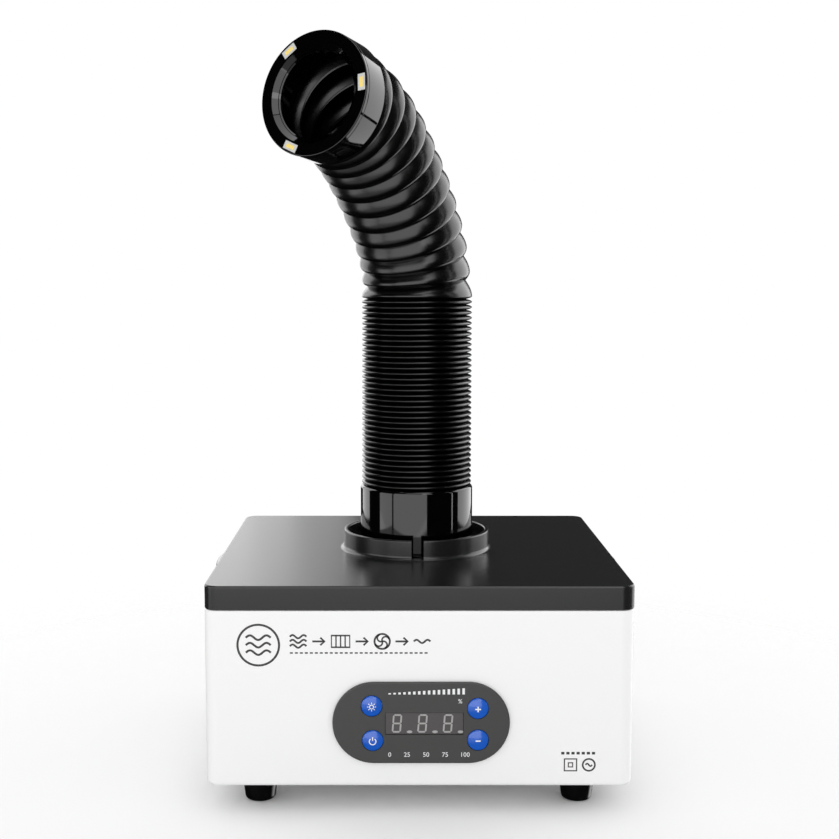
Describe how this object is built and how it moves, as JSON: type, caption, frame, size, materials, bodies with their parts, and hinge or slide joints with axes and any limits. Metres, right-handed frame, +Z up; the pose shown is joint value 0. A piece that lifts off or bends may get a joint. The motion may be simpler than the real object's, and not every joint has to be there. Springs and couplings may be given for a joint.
{
  "type": "solder fume extractor",
  "caption": "Square filter case on rubber feet with a lift-off lid and a bending corrugated suction hose that ends in a lamp-ringed nozzle.",
  "frame": {"origin": "on the table, under the centre of the case", "axes": "+Z up, -Y towards the control panel, +X to the right as seen from the front"},
  "size_m": [0.273, 0.2532, 0.4717],
  "materials": {
    "shell_white": "satin white moulded or painted shell",
    "lid_black": "fine satin black",
    "gloss_black": "polished black",
    "hose_black": "glossy black flexible plastic",
    "panel_grey": "smooth dark grey",
    "display_smoke": "smoked display window",
    "button_blue": "glossy blue domes",
    "lamp_white": "white lamp package, yellow phosphor",
    "foot_rubber": "black rubber",
    "gasket_foam": "dark foam",
    "steel": "zinc-plated",
    "inner_black": "black moulding",
    "filter_mat": "white non-woven fibre",
    "filter_carbon": "black activated carbon",
    "board_green": "solder-masked circuit board",
    "lead_black": "black insulated lead"
  },
  "bodies": {
    "case": {"case_shell": "shell_white", "foot_1": "foot_rubber", "foot_2": "foot_rubber", "foot_3": "foot_rubber", "foot_4": "foot_rubber", "foot_screw_1": "steel", "foot_screw_2": "steel", "foot_screw_3": "steel", "foot_screw_4": "steel", "control_panel": "panel_grey", "display_module": "display_smoke", "control_board": "board_green", "mains_inlet": "inner_black", "inlet_screw_1": "steel", "inlet_screw_2": "steel", "fan_motor": "steel", "fan_plate": "steel", "fan_plate_screw_1": "steel", "fan_plate_screw_2": "steel", "fan_plate_screw_3": "steel", "fan_plate_screw_4": "steel", "carbon_filter": "filter_carbon", "hepa_filter": "filter_mat", "prefilter": "filter_mat", "power_board": "board_green", "transformer": "steel", "panel_cable": "lead_black", "mains_lead": "lead_black", "motor_lead": "lead_black"},
    "lid": {"lid_cover": "lid_black", "lid_gasket": "gasket_foam", "grip_left": "gloss_black", "grip_right": "gloss_black"},
    "hose_base": {"hose_coupling": "gloss_black", "coupling_retainer": "steel", "hose_collapsed": "hose_black"},
    "hose_neck": {"hose_neck": "hose_black"},
    "fold_1": {"hose_fold_1": "hose_black"},
    "fold_2": {"hose_fold_2": "hose_black"},
    "fold_3": {"hose_fold_3": "hose_black"},
    "fold_4": {"hose_fold_4": "hose_black"},
    "fold_5": {"hose_fold_5": "hose_black"},
    "fold_6": {"hose_fold_6": "hose_black"},
    "fold_7": {"hose_fold_7": "hose_black"},
    "fold_8": {"hose_fold_8": "hose_black"},
    "fold_9": {"hose_fold_9": "hose_black"},
    "fold_10": {"hose_fold_10": "hose_black"},
    "fold_11": {"hose_fold_11": "hose_black"},
    "nozzle": {"hose_end": "hose_black", "nozzle_body": "gloss_black", "lamp_ring": "gloss_black", "lamp_1": "lamp_white", "lamp_2": "lamp_white", "lamp_3": "lamp_white"},
    "button_lamp": {"button_lamp": "button_blue"},
    "button_power": {"button_power": "button_blue"},
    "button_up": {"button_up": "button_blue"},
    "button_down": {"button_down": "button_blue"},
    "fan": {"fan_impeller": "inner_black"}
  },
  "joints": [
    {"name": "lid_lift", "type": "slide", "parent": "case", "child": "lid", "axis": [0, 0, 1], "range_m": [0, 0.06]},
    {"name": "hose_swivel", "type": "hinge", "parent": "lid", "child": "hose_base", "pos_m": [0, 0, 0.142], "axis": [0, 0, 1], "range_deg": [-175, 175]},
    {"name": "hose_extend", "type": "slide", "parent": "hose_base", "child": "hose_neck", "axis": [0, 0, 1], "range_m": [0, 0.36], "deforming": ["hose_collapsed"]},
    {"name": "bend_1", "type": "hinge", "parent": "hose_neck", "child": "fold_1", "pos_m": [0, 0, 0.3135], "axis": [0.8483, -0.5295, 0], "range_deg": [-5.38, 2.09], "deforming": ["hose_fold_1"]},
    {"name": "bend_2", "type": "hinge", "parent": "fold_1", "child": "fold_2", "pos_m": [-0.00069, -0.00111, 0.32746], "axis": [0.8483, -0.5295, 0], "range_deg": [-10.22, 3.98], "deforming": ["hose_fold_2"]},
    {"name": "bend_3", "type": "hinge", "parent": "fold_2", "child": "fold_3", "pos_m": [-0.00268, -0.0043, 0.34098], "axis": [0.8483, -0.5295, 0], "range_deg": [-8.74, 3.4], "deforming": ["hose_fold_3"]},
    {"name": "bend_4", "type": "hinge", "parent": "fold_3", "child": "fold_4", "pos_m": [-0.00573, -0.00918, 0.35377], "axis": [0.8483, -0.5295, 0], "range_deg": [-6.75, 2.63], "deforming": ["hose_fold_4"]},
    {"name": "bend_5", "type": "hinge", "parent": "fold_4", "child": "fold_5", "pos_m": [-0.00956, -0.01531, 0.36581], "axis": [0.8483, -0.5295, 0], "range_deg": [-4.81, 1.88], "deforming": ["hose_fold_5"]},
    {"name": "bend_6", "type": "hinge", "parent": "fold_5", "child": "fold_6", "pos_m": [-0.01391, -0.02228, 0.37719], "axis": [0.8483, -0.5295, 0], "range_deg": [-3.48, 1.36], "deforming": ["hose_fold_6"]},
    {"name": "bend_7", "type": "hinge", "parent": "fold_6", "child": "fold_7", "pos_m": [-0.01862, -0.02983, 0.38805], "axis": [0.8483, -0.5295, 0], "range_deg": [-3.12, 1.22], "deforming": ["hose_fold_7"]},
    {"name": "bend_8", "type": "hinge", "parent": "fold_7", "child": "fold_8", "pos_m": [-0.02364, -0.03788, 0.39841], "axis": [0.8483, -0.5295, 0], "range_deg": [-3.85, 1.5], "deforming": ["hose_fold_8"]},
    {"name": "bend_9", "type": "hinge", "parent": "fold_8", "child": "fold_9", "pos_m": [-0.02902, -0.04649, 0.4081], "axis": [0.8483, -0.5295, 0], "range_deg": [-5.45, 2.12], "deforming": ["hose_fold_9"]},
    {"name": "bend_10", "type": "hinge", "parent": "fold_9", "child": "fold_10", "pos_m": [-0.03486, -0.05585, 0.41678], "axis": [0.8483, -0.5295, 0], "range_deg": [-7.47, 2.91], "deforming": ["hose_fold_10"]},
    {"name": "bend_11", "type": "hinge", "parent": "fold_10", "child": "fold_11", "pos_m": [-0.04125, -0.06608, 0.42395], "axis": [0.8483, -0.5295, 0], "range_deg": [-9.35, 3.64], "deforming": ["hose_fold_11"]},
    {"name": "bend_12", "type": "hinge", "parent": "fold_11", "child": "nozzle", "pos_m": [-0.04816, -0.07716, 0.42907], "axis": [0.8483, -0.5295, 0], "range_deg": [-12.15, 4.73]},
    {"name": "press_lamp", "type": "slide", "parent": "case", "child": "button_lamp", "axis": [0, 1, 0], "range_m": [0, 0.0006], "stiffness_N_per_m": 400},
    {"name": "press_power", "type": "slide", "parent": "case", "child": "button_power", "axis": [0, 1, 0], "range_m": [0, 0.0006], "stiffness_N_per_m": 400},
    {"name": "press_up", "type": "slide", "parent": "case", "child": "button_up", "axis": [0, 1, 0], "range_m": [0, 0.0006], "stiffness_N_per_m": 400},
    {"name": "press_down", "type": "slide", "parent": "case", "child": "button_down", "axis": [0, 1, 0], "range_m": [0, 0.0006], "stiffness_N_per_m": 400},
    {"name": "fan_spin", "type": "hinge", "parent": "case", "child": "fan", "pos_m": [0.035, 0.005, 0.05], "axis": [0, 0, 1], "continuous": true}
  ],
  "couplings": [
    {"joint": "bend_2", "follows": "bend_1", "ratio": 1.8989},
    {"joint": "bend_3", "follows": "bend_1", "ratio": 1.6242},
    {"joint": "bend_4", "follows": "bend_1", "ratio": 1.254},
    {"joint": "bend_5", "follows": "bend_1", "ratio": 0.89336},
    {"joint": "bend_6", "follows": "bend_1", "ratio": 0.64463},
    {"joint": "bend_7", "follows": "bend_1", "ratio": 0.57844},
    {"joint": "bend_8", "follows": "bend_1", "ratio": 0.71358},
    {"joint": "bend_9", "follows": "bend_1", "ratio": 1.0117},
    {"joint": "bend_10", "follows": "bend_1", "ratio": 1.3881},
    {"joint": "bend_11", "follows": "bend_1", "ratio": 1.7361},
    {"joint": "bend_12", "follows": "bend_1", "ratio": 2.2579}
  ]
}
